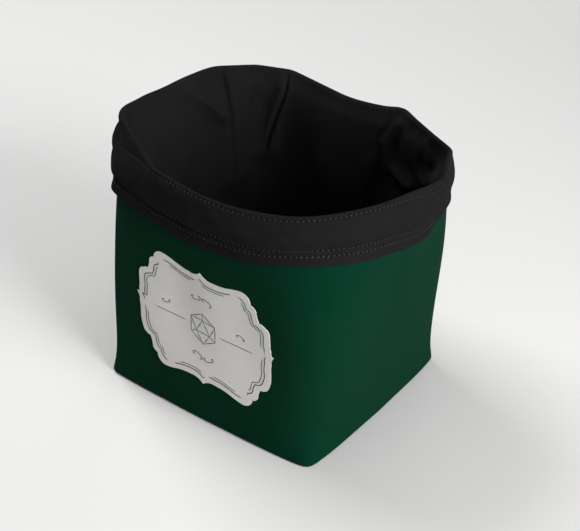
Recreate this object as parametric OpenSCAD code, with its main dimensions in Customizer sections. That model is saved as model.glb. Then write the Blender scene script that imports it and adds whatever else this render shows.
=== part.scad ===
// Drawstring dice bag, standing open with its top folded down into a cuff.
// Origin: centre of the base's underside. +Z up, -Y towards the labelled face, +Y towards the cord.

/* [Bag] */
// Side of the square base, at the corners
base_side = 146; // [136:1:156]
// Radius of the base's corners
base_corner_r = 6; // [5:1:10]
// How far each base edge bows outwards at its middle
base_bow = 3; // [0:0.5:4]
// Mean height of the folded rim above the floor
rim_h = 161; // [155:1:170]

/* [Mouth] */
// Mean radius of the green wall just below the fold
mouth_r = 91.4; // [89:0.2:93]
// How much of the base's squareness is left at the mouth
mouth_squareness = 1.7; // [0:0.1:3]
// Lean of the mouth along X
mouth_lean_x = -3; // [-6:0.5:2]
// Lean of the mouth along Y
mouth_lean_y = -4; // [-5:0.5:2]
// Sideways tilt of the rim
rim_tilt = 2.5; // [0:0.5:4]
// Height of the two-lobed wave in the rim
rim_wave = 4; // [0:0.5:5]

/* [Cuff] */
// Fold to upper stitch row
fold_drop = 4; // [3.6:0.1:4.4]
// Width of the cord channel, between its two stitch rows
channel_w = 20; // [18:1:22]
// Distance between the twin rows
twin_gap = 4; // [3:0.5:5]
// Twin rows' lower row to the cuff's free edge
hem_margin = 4.5; // [4:0.5:6]
// Gap between the cuff and the wall behind it
cuff_gap = 0.6; // [0.4:0.1:1]
// How much further the free edge stands out at the front left corner
hem_flare = 3; // [0:0.5:4]

/* [Fabric] */
// Thickness of each fabric layer
fabric_t = 0.9; // [0.7:0.1:1]
// Thickness of the wall's interfacing
interfacing_t = 1.5; // [1:0.1:1.6]
// Air left between neighbouring layers
layer_gap = 0.2; // [0.15:0.05:0.25]
// Diameter of the sewing thread
thread_d = 0.5; // [0.4:0.1:0.6]

/* [Label] */
// Label width, tip to tip
label_w = 100.5; // [80:0.5:104]
// Label height
label_h = 78.5; // [60:0.5:80]
// Label centre along X
label_x = -2.5; // [-10:0.5:5]
// Label centre height
label_z = 66; // [55:1:68]
// Label thickness
label_t = 0.4; // [0.3:0.1:0.6]

/* [Drawstring] */
// Cord diameter
cord_d = 3; // [2.8:0.1:3.1]
// Height of the tails' cut ends above the floor
tail_end_z = 24; // [20:1:34]
// Extra room behind the cuff where the tails come out
tail_room = 4.4; // [4.2:0.1:5]
// Diameter of the end knot
knot_d = 10; // [9.4:0.2:12]

/* [Cord lock] */
// Barrel diameter
lock_d = 11; // [10.6:0.2:11.4]
// Height of the cord lock's axis at rest
lock_z = 104; // [90:1:105]
// Travel of the plunger
press_travel = 3; // [2:0.5:3]

/* [Hidden] */

green = [0.05, 0.19, 0.13];
black = [0.10, 0.10, 0.10];
thread_grey = [0.22, 0.22, 0.23];
pale = [0.66, 0.65, 0.66];

// ---- plan of the wall ----

// Directions of the wall's vertical facets. Each corner also has one on its middle.
step_deg = 5;
offsets = [for (j = [-9:9]) j == 0 ? 0 : sign(j) * (abs(j) - 0.5) * step_deg];
TH = [for (q = [0:3]) for (o = offsets) 45 + 90 * q + o];
cord_exit_deg = 90;
lining_seam_deg = 140;

half = base_side / 2;
straight = half - base_corner_r;

// Distance from the centre to the bowed, round-cornered square base, in direction th
function base_radius(th) =
    let (phi = abs((th + 45) % 90 - 45), y = half * tan(phi), corner = 45 - phi, reach = straight * sqrt(2))
    y <= straight
        ? (half + base_bow * (1 - pow(y / straight, 2))) / cos(phi)
        : reach * cos(corner) + sqrt(pow(base_corner_r, 2) - pow(reach * sin(corner), 2));

function mouth_radius(th) = mouth_r + mouth_squareness * cos(4 * (th - 45));

// How far the section has changed from the base's shape to the mouth's, at height z
flare_power = 2.3;
function change(z) = pow(max(z, 0) / rim_h, flare_power);
function radius(th, z) = base_radius(th) + (mouth_radius(th) - base_radius(th)) * change(z);

// Outward direction of the wall in plan, square to its outline
function outward(th, z) =
    let (slope = (radius(th + 0.5, z) - radius(th - 0.5, z)) / (2 * 0.5 * PI / 180), r = radius(th, z))
    atan2(r * sin(th) - slope * cos(th), r * cos(th) + slope * sin(th));

function rim_rise(th) = rim_tilt * cos(th - 171) + rim_wave * cos(2 * (th + 13));

// Point at offset o outwards from the green face, in direction th and at mean height z
function place(th, o, z) =
    let (r = radius(th, z), n = outward(th, z))
    [r * cos(th) + o * cos(n) + mouth_lean_x * change(z),
     r * sin(th) + o * sin(n) + mouth_lean_y * change(z),
     z + rim_rise(th) * pow(min(z / hem_z, 1), 3)];

// ---- layers through the wall: offsets of each layer's middle from the green face ----

outer_o = -0.05 - fabric_t / 2;
interfacing_o = outer_o - fabric_t / 2 - layer_gap - interfacing_t / 2;
lining_o = interfacing_o - interfacing_t / 2 - layer_gap - fabric_t / 2;
ply = fabric_t + layer_gap;

wall_z = [30, 60, 90, 115, 135, 146];
hem_z = rim_h - fold_drop - channel_w - twin_gap - hem_margin;
lower_row_z = hem_z + hem_margin;
upper_twin_z = lower_row_z + twin_gap;
upper_row_z = upper_twin_z + channel_w;
channel_z = (upper_row_z + upper_twin_z) / 2;
exit_half = 4;

// How far the cuff stands off the wall
tail_spread = 13;
function stand_off(th, z) =
    cuff_gap
    + tail_room * exp(-pow((th - cord_exit_deg) / tail_spread, 2))
    + hem_flare * (0.5 + 0.5 * cos(th - 225)) * (rim_h - z) / (rim_h - hem_z);

// Middle of the black layer of the cuff, which swells over the channel
fold_o = 2.6;
swell = 2.1;
function cuff_o(th, z) =
    fold_o + stand_off(th, z)
    + (z > upper_twin_z ? swell * sin(180 * (upper_row_z - z) / channel_w) : 0);

// The fold is half an ellipse from the wall to the cuff
fold_steps = 6;
fold_rise = rim_h - fabric_t / 2 - upper_row_z;
function fold(in_o, out_o, rise) = [for (i = [0:fold_steps])
    let (a = 180 - 180 * i / fold_steps)
    [(in_o + out_o) / 2 + (out_o - in_o) / 2 * cos(a), upper_row_z + rise * sin(a)]];

cuff_z = [channel_z + exit_half, channel_z, channel_z - exit_half, upper_twin_z, lower_row_z, hem_z];

// Black strip: up inside the bag, over the fold, down to the free edge
lining_floor_z = 3.3;
function lining_path(th) = concat(
    [for (z = concat([lining_floor_z], wall_z)) [lining_o, z]],
    fold(lining_o, cuff_o(th, upper_row_z), fold_rise),
    [for (z = cuff_z) [cuff_o(th, z), z]]);

// Green strip: up outside, over inside the black fold, down behind the cord
cord_room = cord_d + 0.4;
under_fold_o = lining_o + ply;
function inner_cuff_o(th, z) =
    cuff_o(th, z) - ply - (z > upper_twin_z ? cord_room * sin(180 * (upper_row_z - z) / channel_w) : 0);
function outer_path(th) = concat(
    [for (z = concat([0.4], wall_z)) [outer_o, z]],
    fold(under_fold_o, cuff_o(th, upper_row_z) - ply, fold_rise - ply),
    [for (z = cuff_z) [inner_cuff_o(th, z), z + (z == hem_z ? 0.5 : 0)]]);

// Stiff strip between them, stopping below the fold
function interfacing_path(th) = [for (z = concat([2], wall_z)) [interfacing_o, z]];

// ---- solids from paths ----

function path_normal(p, k) =
    let (a = p[max(k - 1, 0)], b = p[min(k + 1, len(p) - 1)], d = b - a)
    [-d.y, d.x] / norm(d);

// Closed outline of a sheet of thickness t along a path
function sheet_outline(p, t) = concat(
    [for (k = [0:len(p) - 1]) p[k] + t / 2 * path_normal(p, k)],
    [for (k = [len(p) - 1:-1:0]) p[k] - t / 2 * path_normal(p, k)]);

function quad(a, b, c, d, flip = false) = flip ? [[a, b, d], [b, c, d]] : [[a, b, c], [a, c, d]];

// Ring of sections, joined end to end. A section's second half runs back down the sheet's other side,
// so its cells are cut along the other diagonal, which keeps the two sides of a gap parallel.
// Cells of column hole_ring, between path points hole_from and hole_to, are left open on both sides.
module closed_loft(sections, hole_ring = -1, hole_from = 0, hole_to = -1) {
    rings = len(sections);
    m = len(sections[0]);
    points = [for (s = sections) for (p = s) p];
    function id(i, k) = (i % rings) * m + (k + m) % m;
    function open(i, k) = i == hole_ring
        && ((k >= hole_from && k < hole_to) || (k >= m - 1 - hole_to && k < m - 1 - hole_from));
    skin = [for (i = [0:rings - 1]) for (k = [0:m - 1]) if (!open(i, k))
        for (f = quad(id(i, k), id(i, k + 1), id(i + 1, k + 1), id(i + 1, k), k >= m / 2)) f];
    j = hole_ring;
    sides = hole_ring < 0 ? [] : [for (k = [hole_from:hole_to - 1])
        for (f = concat(
            quad(id(j, k), id(j, k + 1), id(j, m - 2 - k), id(j, m - 1 - k)),
            quad(id(j + 1, k + 1), id(j + 1, k), id(j + 1, m - 1 - k), id(j + 1, m - 2 - k)))) f];
    a = hole_from;
    b = hole_to;
    ends = hole_ring < 0 ? [] : concat(
        quad(id(j, a), id(j, m - 1 - a), id(j + 1, m - 1 - a), id(j + 1, a)),
        quad(id(j, b), id(j + 1, b), id(j + 1, m - 1 - b), id(j, m - 1 - b)));
    polyhedron(points, concat(skin, sides, ends));
}

// Tube with flat ends through a list of sections
module open_loft(sections) {
    rings = len(sections);
    m = len(sections[0]);
    points = [for (s = sections) for (p = s) p];
    skin = [for (i = [0:rings - 2]) for (k = [0:m - 1])
        for (f = quad(i * m + k, i * m + (k + 1) % m, (i + 1) * m + (k + 1) % m, (i + 1) * m + k)) f];
    first = [for (k = [m - 1:-1:0]) k];
    last = [for (k = [0:m - 1]) (rings - 1) * m + k];
    polyhedron(points, concat(skin, [first, last]));
}

// Outline [offset, height] carried round the wall in direction th
function section(th, outline) = [for (p = outline) place(th, p.x, p.y)];

// Flat panel inside the wall at offset o
module panel(o, z, t) {
    outline = [for (th = TH) let (p = place(th, o, 0)) [p.x, p.y]];
    translate([0, 0, z]) linear_extrude(t) polygon(outline);
}

// Thread laid round the wall at height z, its middle at offset o, or on the cuff's visible face
thread_r = thread_d / 2;
function square_outline(o, z) =
    [for (p = [[-1, -1], [1, -1], [1, 1], [-1, 1]]) [o + thread_r * p.x, z + thread_r * p.y]];

module thread_ring(z, o) {
    closed_loft([for (th = TH) section(th, square_outline(o, z))]);
}

module cuff_stitching(z) {
    proud = fabric_t / 2 + 0.2 + thread_r;
    closed_loft([for (th = TH) section(th, square_outline(cuff_o(th, z) + proud, z))]);
}

// Thread laid up the wall at direction th
module thread_up(th, o, z_from, z_to) {
    rows = concat([z_from], [for (z = wall_z) if (z > z_from && z < z_to) z], [z_to]);
    open_loft([for (z = rows)
        [for (p = square_outline(o, 0)) place(th + atan(p.y / mouth_r), p.x, z)]]);
}

// ---- fabric ----

// The cord leaves through a gap in the hidden back layer of the cuff
exit_ring = search(cord_exit_deg - step_deg / 2, TH)[0];
exit_from = len(wall_z) + 1 + fold_steps + 1;
exit_to = exit_from + 2;

module outer_wall() {
    color(green)
        closed_loft([for (th = TH) section(th, sheet_outline(outer_path(th), fabric_t))],
            exit_ring, exit_from, exit_to);
}

module outer_base() {
    color(green) panel(outer_o - fabric_t / 2 - layer_gap, 0, fabric_t);
}

module wall_interfacing() {
    color("dimgray")
        closed_loft([for (th = TH) section(th, sheet_outline(interfacing_path(th), interfacing_t))]);
}

module base_stiffener() {
    color("dimgray") panel(interfacing_o - interfacing_t / 2 - layer_gap, fabric_t + 0.1, interfacing_t);
}

module lining_wall() {
    color(black) closed_loft([for (th = TH) section(th, sheet_outline(lining_path(th), fabric_t))]);
}

module lining_base() {
    color(black) panel(lining_o - fabric_t / 2 - layer_gap, lining_floor_z, fabric_t);
}

// ---- sewing threads ----

module channel_upper_stitching() {
    color(thread_grey) cuff_stitching(upper_row_z);
}

module channel_lower_stitching() {
    color(thread_grey) cuff_stitching(upper_twin_z);
}

module hem_stitching() {
    color(thread_grey) cuff_stitching(lower_row_z);
}

module outer_base_seam_thread() {
    color(green) thread_ring(fabric_t + 0.2 + thread_r, interfacing_o);
}

module lining_base_seam_thread() {
    color(black) thread_ring(lining_floor_z - 0.1 - thread_r, lining_o);
}

module outer_back_seam_thread() {
    color(green) thread_up(cord_exit_deg, outer_o + fabric_t / 2 + 0.15 + thread_r, 4, channel_z - exit_half);
}

module lining_side_seam_thread() {
    color(black) thread_up(lining_seam_deg, lining_o - fabric_t / 2 - 0.15 - thread_r, 8, channel_z - exit_half);
}

// ---- label ----

// Half the label's height at a share a of its half width: arched top, round shoulder, pointed tip
arch_end = 0.7;
shoulder_end = 0.88;
tip_h = 0.06;
function label_half_height(a) =
    a < arch_end ? 0.93 + 0.07 * cos(180 * a / arch_end)
    : a < shoulder_end ? let (s = (a - arch_end) / (shoulder_end - arch_end)) 0.5 + 0.36 * sqrt(1 - s * s)
    : let (s = (1 - a) / (1 - shoulder_end)) tip_h + (0.5 - tip_h) * s * s;

// Direction in which the front face reaches a given x
function facing(x, z) = 270 + atan((x - mouth_lean_x * change(z)) / radius(270, z));

// Label outline at `size` times full size: top edge left to right, then bottom edge back
label_cols = 28;
function label_edge(size, top) = [for (i = [0:label_cols])
    let (a = -1 + 2 * i / label_cols, h = label_half_height(abs(a)) * label_h / 2)
    [label_x + a * label_w / 2 * size, label_z + (top ? h : -h) * size]];

// Point at offset o from the green face, at x = p.x and true height p.y
function on_face(p, o) =
    let (th = facing(p.x, p.y), z = p.y - rim_rise(th) * pow(p.y / hem_z, 3))
    [p.x, place(th, o, z).y, p.y];

label_o = 0.35;
module label_patch() {
    top = label_edge(1, true);
    bottom = label_edge(1, false);
    rows = 6;
    color(pale) open_loft([for (i = [0:label_cols])
        let (column = [for (j = [0:rows]) bottom[i] + (top[i] - bottom[i]) * j / rows])
        concat([for (p = column) on_face(p, label_o)],
            [for (j = [rows:-1:0]) on_face(column[j], label_o + label_t)])]);
}

print_inset = 0.88;
print_w = 0.012;
print_t = 0.12;
module label_border_print() {
    low = label_o + label_t + 0.05;
    outline = function(size) concat(label_edge(size, true),
        [for (i = [label_cols - 1:-1:1]) label_edge(size, false)[i]]);
    inner = outline(print_inset - print_w);
    outer = outline(print_inset + print_w);
    color(black) closed_loft([for (k = [0:len(inner) - 1])
        [on_face(inner[k], low), on_face(inner[k], low + print_t),
         on_face(outer[k], low + print_t), on_face(outer[k], low)]]);
}

// ---- drawstring ----

cord_r = cord_d / 2;
tail_x = cord_r + 0.15;
tail_top_z = channel_z + 2;
tail_y = place(cord_exit_deg, 0, tail_top_z).y + 0.25 + cord_r;
knot_h = 0.64 * knot_d;
knot_z = tail_end_z + 9 + knot_d / 2;

module channel_cord() {
    ring = [for (i = [1:len(TH)]) TH[(exit_ring + i) % len(TH)]];
    color(black) open_loft([for (th = ring)
        let (o = (cuff_o(th, channel_z) + inner_cuff_o(th, channel_z)) / 2)
        section(th, [for (a = [22.5:45:360]) [o + cord_r * cos(a), channel_z + cord_r * sin(a)]])]);
}

module cord_tails() {
    color(black) for (s = [-1, 1])
        translate([s * tail_x, tail_y, tail_end_z]) cylinder(d = cord_d, h = tail_top_z - tail_end_z, $fn = 32);
}

module cord_end_knot() {
    color(black) translate([0, tail_y, knot_z]) difference() {
        intersection() {
            sphere(d = knot_d, $fn = 40);
            cube([2 * knot_d, 2 * knot_d, knot_h], center = true);
        }
        for (s = [-1, 1])
            translate([s * tail_x, 0, -knot_d]) cylinder(r = cord_r + 0.05, h = 2 * knot_d, $fn = 32);
    }
}

// ---- cord lock: its axis runs along X, the cord passes through it along Z ----

bore_r = 4.05;
stem_r = bore_r - 0.08;
slot_r = cord_r + 0.1;
slot_end = tail_x + slot_r;
stem_in = -slot_end - 1.6;
spring_solid = 1.7;
bore_bottom = stem_in - press_travel - spring_solid;
barrel_in = bore_bottom - 1.2;
barrel_out = slot_end + 3.7;
head_in = barrel_out + press_travel + 0.6;
head_out = head_in + 2.6;
edge = 0.8;

// Slot with round ends, long enough for both cords and `extra` more
module cord_slot(extra) {
    for (x = [-tail_x, tail_x + extra])
        translate([x, 0, -lock_d]) cylinder(r = slot_r, h = 2 * lock_d, $fn = 32);
    translate([-tail_x, -slot_r, -lock_d]) cube([2 * tail_x + extra, 2 * slot_r, 2 * lock_d]);
}

module at_lock() {
    translate([0, tail_y, lock_z]) children();
}

// Turns a [radius, length] outline about the lock's axis
module turned(outline) {
    rotate([0, 90, 0]) rotate_extrude($fn = 48) polygon(outline);
}

module cord_lock_barrel() {
    r = lock_d / 2;
    color("black") at_lock() difference() {
        turned([[0, barrel_in], [r - edge, barrel_in], [r, barrel_in + edge], [r, barrel_out - edge],
            [r - edge, barrel_out], [bore_r, barrel_out], [bore_r, bore_bottom], [0, bore_bottom]]);
        cord_slot(0);
    }
}

module cord_lock_plunger() {
    r = lock_d / 2 - 0.3;
    color("black") at_lock() difference() {
        turned([[0, stem_in], [stem_r, stem_in], [stem_r, head_in], [r, head_in], [r, head_out - edge],
            [r - edge, head_out], [0, head_out]]);
        cord_slot(press_travel);
    }
}

spring_wire = 0.45;
spring_r = 3.2;
module cord_lock_spring() {
    turns = 3;
    per_turn = 20;
    length = stem_in - bore_bottom - spring_wire - 0.2;
    color("silver") at_lock() translate([bore_bottom + 0.1 + spring_wire / 2, 0, 0])
        open_loft([for (i = [0:turns * per_turn])
            let (a = 360 * i / per_turn, x = length * i / (turns * per_turn))
            [for (b = [0:60:300])
                let (r = spring_r + spring_wire / 2 * cos(b))
                [x + spring_wire / 2 * sin(b), r * cos(a), r * sin(a)]]]);
}

outer_wall();
outer_base();
wall_interfacing();
base_stiffener();
lining_wall();
lining_base();
channel_upper_stitching();
channel_lower_stitching();
hem_stitching();
outer_base_seam_thread();
lining_base_seam_thread();
outer_back_seam_thread();
lining_side_seam_thread();
label_patch();
label_border_print();
channel_cord();
cord_tails();
cord_end_knot();
cord_lock_barrel();
cord_lock_plunger();
cord_lock_spring();
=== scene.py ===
"""Drawstring dice bag standing open, its top folded down into a cuff: the looks, built round the CAD frame.

A point of the bag is named by three numbers: a direction round it in degrees (0 is +X, 90 is +Y), a level up
the wall and an offset outwards from the green face. These and all other lengths are in millimetres until a
mesh is made. Levels run from 0 at the floor to RIM at the fold, and rise and fall with the wavy rim.
"""
import math

import bmesh
import bpy
import numpy as np
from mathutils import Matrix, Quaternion, Vector


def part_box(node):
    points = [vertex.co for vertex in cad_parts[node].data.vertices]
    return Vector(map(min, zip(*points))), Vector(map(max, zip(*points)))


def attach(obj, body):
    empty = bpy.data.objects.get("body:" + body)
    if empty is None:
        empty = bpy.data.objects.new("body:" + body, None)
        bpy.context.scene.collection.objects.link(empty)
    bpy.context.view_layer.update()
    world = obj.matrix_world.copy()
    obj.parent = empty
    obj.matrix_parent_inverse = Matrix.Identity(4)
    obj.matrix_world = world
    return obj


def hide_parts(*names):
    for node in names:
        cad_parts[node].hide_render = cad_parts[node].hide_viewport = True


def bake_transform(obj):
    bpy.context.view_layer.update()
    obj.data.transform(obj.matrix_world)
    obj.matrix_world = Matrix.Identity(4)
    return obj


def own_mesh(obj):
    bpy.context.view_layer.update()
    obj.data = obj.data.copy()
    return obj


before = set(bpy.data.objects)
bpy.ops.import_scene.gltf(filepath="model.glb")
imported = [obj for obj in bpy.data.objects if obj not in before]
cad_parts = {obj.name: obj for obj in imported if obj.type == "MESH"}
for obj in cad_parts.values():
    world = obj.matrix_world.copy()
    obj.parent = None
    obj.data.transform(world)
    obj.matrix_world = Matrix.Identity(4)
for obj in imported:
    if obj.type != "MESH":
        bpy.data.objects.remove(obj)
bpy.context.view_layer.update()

MM = 0.001


def node_box(node):
    """Lowest and highest corner of a CAD node, in millimetres."""
    low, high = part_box(node)
    return np.array(low) / MM, np.array(high) / MM


# -------- outline of the bag

RIM = 161.0
# The base: half its width, which the panel falls a little short of, and how far its sides bow outwards
BASE_BOW = 1.0
BASE_HALF = node_box("outer_base")[1][0] + 1.95 - BASE_BOW
# How late the wall opens from the base's outline to the mouth's
FLARE_POWER = 2.3

# Middle of the fold round the mouth: direction, distance from the centre, height, and how far the stretch to
# the next one is curved (1) or pulled straight (0)
MOUTH = [
    (8, 89.6, 161.8, 0), (36, 89.0, 159.8, 0), (44, 87.4, 158.0, 1), (54, 85.8, 157.3, 1),
    (68, 87.4, 157.4, 1), (78, 91.1, 157.9, 1), (86, 86.4, 156.3, 1), (104, 86.4, 155.9, 0),
    (127, 94.0, 165.3, 0), (141, 94.9, 168.0, 0), (157, 96.0, 168.9, 1), (172, 93.0, 168.1, 1),
    (186, 93.2, 166.7, 1), (197, 99.9, 164.4, 1), (210, 103.8, 162.2, 0), (248, 94.7, 160.0, 0),
    (267, 93.6, 159.1, 1), (286, 94.9, 158.8, 1), (306, 95.0, 159.4, 1), (328, 91.0, 162.0, 1),
    (347, 87.8, 162.9, 1)]
MOUTH_ROUNDING = 2.5
# The base: corners and the middles of its bowed sides
BASE = [(45 * k, BASE_HALF * math.sqrt(2) if k % 2 else BASE_HALF + BASE_BOW, 0, 0) for k in range(8)]
# Corner rounding of the base panel, of a soft corner at the floor, and of a soft corner higher up
BASE_ROUNDING, FOOT_ROUNDING, SOFT_ROUNDING = 1.6, 5.5, 26.0

# Thickness of cloth and of felt, and the pitch of two layers that lie on each other
FABRIC, STIFF, PLY = 0.7, 1.5, 0.85
# Offsets of the middles of the layers, and of the lining where it meets the fold
OUTER, INTERFACING, LINING = -0.4, -1.7, -3.0
LINING_TOP = OUTER - PLY


def turn_between(th, middle):
    """Signed angle from middle to th, in degrees."""
    return (th - middle + 180) % 360 - 180


def bump(x, width):
    return np.exp(-(x / width) ** 2)


def near(th, middle, width):
    """1 in the direction `middle`, fading to 0 over about `width` degrees to both sides."""
    return bump(turn_between(th, middle), width)


def arc_from(th, middle, reach):
    """Signed length from middle to th round a circle of the given radius."""
    return turn_between(th, middle) * math.radians(1) * reach


def around(th, turns, values):
    """Reads a table by direction at directions th."""
    return np.interp(th, turns, values, period=360)


def lengths_along(path):
    """Length from the start of a path to each of its points, or to each row of a grid on average."""
    steps = np.linalg.norm(np.diff(path, axis=0), axis=-1)
    return np.append(0, np.cumsum(steps.reshape(len(steps), -1).mean(1)))


def spaced(start, stop, step):
    """Even values from start to stop, about a step apart."""
    return np.linspace(start, stop, max(int(abs(stop - start) / step), 1) + 1)


def stretch(before, a, b, after, count=12):
    """Points from a towards b, on a curve that also heeds the points before and after them."""
    t = np.linspace(0, 1, count, endpoint=False)[:, None]
    if not a[3]:
        return a[:3] + (b[:3] - a[:3]) * t
    go, come = (b - before)[:3] / 2, (after - a)[:3] / 2
    return ((2 * t ** 3 - 3 * t ** 2 + 1) * a[:3] + (t ** 3 - 2 * t ** 2 + t) * go
            + (3 * t ** 2 - 2 * t ** 3) * b[:3] + (t ** 3 - t ** 2) * come)


def closed_outline(points, rounding):
    """Direction, radius and height tables of a closed outline, its corners rounded off."""
    a, r, h, curved = np.array(points, float).T
    corners = np.stack([r * np.cos(np.radians(a)), r * np.sin(np.radians(a)), h, curved], 1)
    n = len(corners)
    path = np.vstack([stretch(*(corners[(k + j) % n] for j in (-1, 0, 1, 2))) for k in range(n)])
    path = np.vstack([path, path[:1]])
    reach = lengths_along(path)
    step = 0.25
    along = np.arange(0, reach[-1], step)
    line = np.stack([np.interp(along, reach, c) for c in path.T])
    wave = np.fft.rfftfreq(line.shape[1], step)
    soften = np.exp(-2 * (np.pi * wave * rounding) ** 2)
    x, y, z = np.fft.irfft(np.fft.rfft(line, axis=1) * soften, line.shape[1], axis=1)
    turn = np.degrees(np.arctan2(y, x)) % 360
    order = np.argsort(turn)
    return turn[order], np.hypot(x, y)[order], z[order]


MOUTH_TURN, MOUTH_RADIUS, MOUTH_HEIGHT = closed_outline(MOUTH, MOUTH_ROUNDING)
SHARP_BASE = closed_outline(BASE, BASE_ROUNDING)[:2]
FOOT_BASE = closed_outline(BASE, FOOT_ROUNDING)[:2]
SOFT_BASE = closed_outline(BASE, SOFT_ROUNDING)[:2]


def rim_rise(th):
    """How much higher the rim is than RIM."""
    return around(th, MOUTH_TURN, MOUTH_HEIGHT) - RIM


# By direction: how soft each upright corner goes above the floor, how far it bellies out, and at what level
CORNERS = {45: (0.45, 2.0, 105.0), 135: (0.8, 9.0, 105.0), 225: (0.35, 6.2, 128.0), 315: (1.0, 8.4, 105.0)}
# Over how many degrees the corners soften and belly out, and how fast they soften with height
SOFT_WIDTH, BELLY_WIDTH, SOFT_HEIGHT = 34.0, 20.0, 10.0
# How far the bottom corners turn under, over how much height and how many degrees
TUCK, TUCK_HEIGHT, TUCK_WIDTH = 1.3, 6.0, 8.0
# Slow waves of the wall: height, how many round the bag, how they lean with the level, where they start
WAVES = [(0.45, 3, 0.05, 0), (0.35, 7, -0.032, 1.3), (0.3, 11, 0.045, 2.1)]
# Level up to which the wall takes up the rise and fall of the rim
LIFT_LEVEL = 128


def radius(th, z):
    """Distance from the centre to the green face."""
    up = np.clip(z, 0, None)
    sharp, foot, soft = (around(th, *base) for base in (SHARP_BASE, FOOT_BASE, SOFT_BASE))
    softening = foot - sharp + (soft - foot) * (1 - np.exp(-up / SOFT_HEIGHT))
    tuck = TUCK * np.clip(1 - up / TUCK_HEIGHT, 0, 1) ** 2
    low = sharp
    swell = 0
    for corner, (share, most, level) in CORNERS.items():
        low = low + softening * share * near(th, corner, SOFT_WIDTH)
        fullness = np.where(up < level, up / level, np.clip((RIM - up) / (RIM - level), 0, 1))
        belly = most * np.sin(np.pi / 2 * fullness) ** 2
        swell = swell + belly * near(th, corner, BELLY_WIDTH) - tuck * near(th, corner, TUCK_WIDTH)
    high = around(th, MOUTH_TURN, MOUTH_RADIUS)
    return low + (high - low) * (up / RIM) ** FLARE_POWER + swell + slack(th, up)


def slack(th, z):
    """Slow waves of the cloth, nothing at the floor and the fold."""
    a = np.radians(th)
    calm = np.sin(np.pi * np.clip(z / RIM, 0, 1)) ** 0.8
    return calm * sum(height * np.sin(count * a + lean * z + start) for height, count, lean, start in WAVES)


def level_lift(th, z):
    """How far the wavy rim carries a level up or down."""
    return rim_rise(th) * np.clip(z / LIFT_LEVEL, 0, 1) ** 3


def place(th, o, z):
    """Points, in millimetres, at directions th, offsets o and levels z."""
    th, o, z = np.broadcast_arrays(np.asarray(th, float), o, z)
    nudge = 0.5
    r = radius(th, z)
    slope = (radius(th + nudge, z) - radius(th - nudge, z)) / np.radians(2 * nudge)
    a = np.radians(th)
    across = np.stack([r * np.cos(a) + slope * np.sin(a), r * np.sin(a) - slope * np.cos(a)])
    across /= np.hypot(*across)
    return np.stack([r * np.cos(a) + o * across[0], r * np.sin(a) + o * across[1], z + level_lift(th, z)], -1)


# -------- the cuff

# From the upper stitch row to the upper twin, between the twins, and from the lower twin to the hem
CHANNEL, TWIN_GAP, HEM_MARGIN = 20.0, 3.8, 5.3
# How far below the rim the fold starts, and the offset at which the cuff leaves it
FOLD, CUFF_TOP = 2.4, 1.3
# How full the channel stands, and the room inside it for the cord
SWELL, CORD_ROOM = 2.7, 2.95
# How far a stitched row pulls the cloth in, and over what half width
PULL, PULL_WIDTH = 0.35, 0.9
# Directions of the drawstring's tails and the back seam, and of the lining's seam
TAIL_TURN, SEAM_TURN = 90.0, 141.0


def row_drop(th):
    """Depth of the upper stitch row below the fold: it slips down the outside at the two ends."""
    return (1.6 + 8.5 * near(th, 218, 20) + 4.8 * near(th, 12, 26)
            + 1.2 * near(th, 292, 12) + 1.5 * near(th, 110, 60))


def band_share(th):
    """How much of its full height the cuff shows: it is bunched up at the front, let out beside it."""
    return (1 - 0.15 * near(th, 309, 18) + 0.14 * near(th, 352, 16)
            + 0.11 * near(th, 262, 18) - 0.2 * near(th, 222, 13)
            - 0.28 * near(th, 206, 11))


def rows_of(th):
    """Depths of the upper row, upper twin, lower twin and hem."""
    upper, share = row_drop(th), band_share(th)
    return (upper, upper + CHANNEL * share, upper + (CHANNEL + TWIN_GAP) * share,
            upper + (CHANNEL + TWIN_GAP + HEM_MARGIN) * share)


def stand_off(th, depth):
    """How far the cuff leans away from the wall, by depth below the fold."""
    hem = rows_of(th)[3]
    lean = 0.4 + 1.5 * near(th, 202, 40) + 0.9 * near(th, 275, 30)
    tails = 4.4 * near(th, TAIL_TURN, 15) * np.clip(depth / 8, 0, 1)
    return lean * np.clip(depth / hem, 0, 1.1) ** 0.7 + tails


def channel_share(th, depth):
    """0 at the channel's upper row, 1 at its lower one."""
    upper, twin, _, _ = rows_of(th)
    return np.clip((depth - upper) / (twin - upper), 0, 1)


def puff(th, depth):
    """The cord channel stands full between its rows, and every row pulls the cloth in."""
    upper, twin, low, hem = rows_of(th)
    plump = SWELL * (1 + 0.5 * near(th, 212, 26) - 0.3 * near(th, 38, 24))
    full = plump * np.sin(np.pi * channel_share(th, depth) ** 0.9) ** 0.75
    pull = sum(PULL * bump(depth - row, PULL_WIDTH) for row in (upper, twin, low))
    between = 0.35 * np.sin(np.pi * np.clip((depth - twin) / (low - twin), 0, 1))
    ease = 0.3 * np.clip((depth - low) / (hem - low), 0, 1)
    return full - pull + between + ease


def cuff_offset(th, depth):
    """Offset of the middle of the cuff's black layer."""
    round_over = np.sqrt(1 - np.clip((FOLD - depth) / FOLD, 0, 1) ** 2)
    outer = CUFF_TOP + stand_off(th, depth) + puff(th, depth) * np.clip(depth / FOLD, 0, 1)
    middle = (CUFF_TOP + LINING_TOP) / 2
    return middle + (outer - middle) * round_over


def inner_cuff_offset(th, depth):
    """Offset of the cuff's hidden green layer, which makes room for the cord."""
    return cuff_offset(th, depth) - PLY - CORD_ROOM * np.sin(np.pi * channel_share(th, depth) ** 0.9)


# -------- creases of the lining

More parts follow.
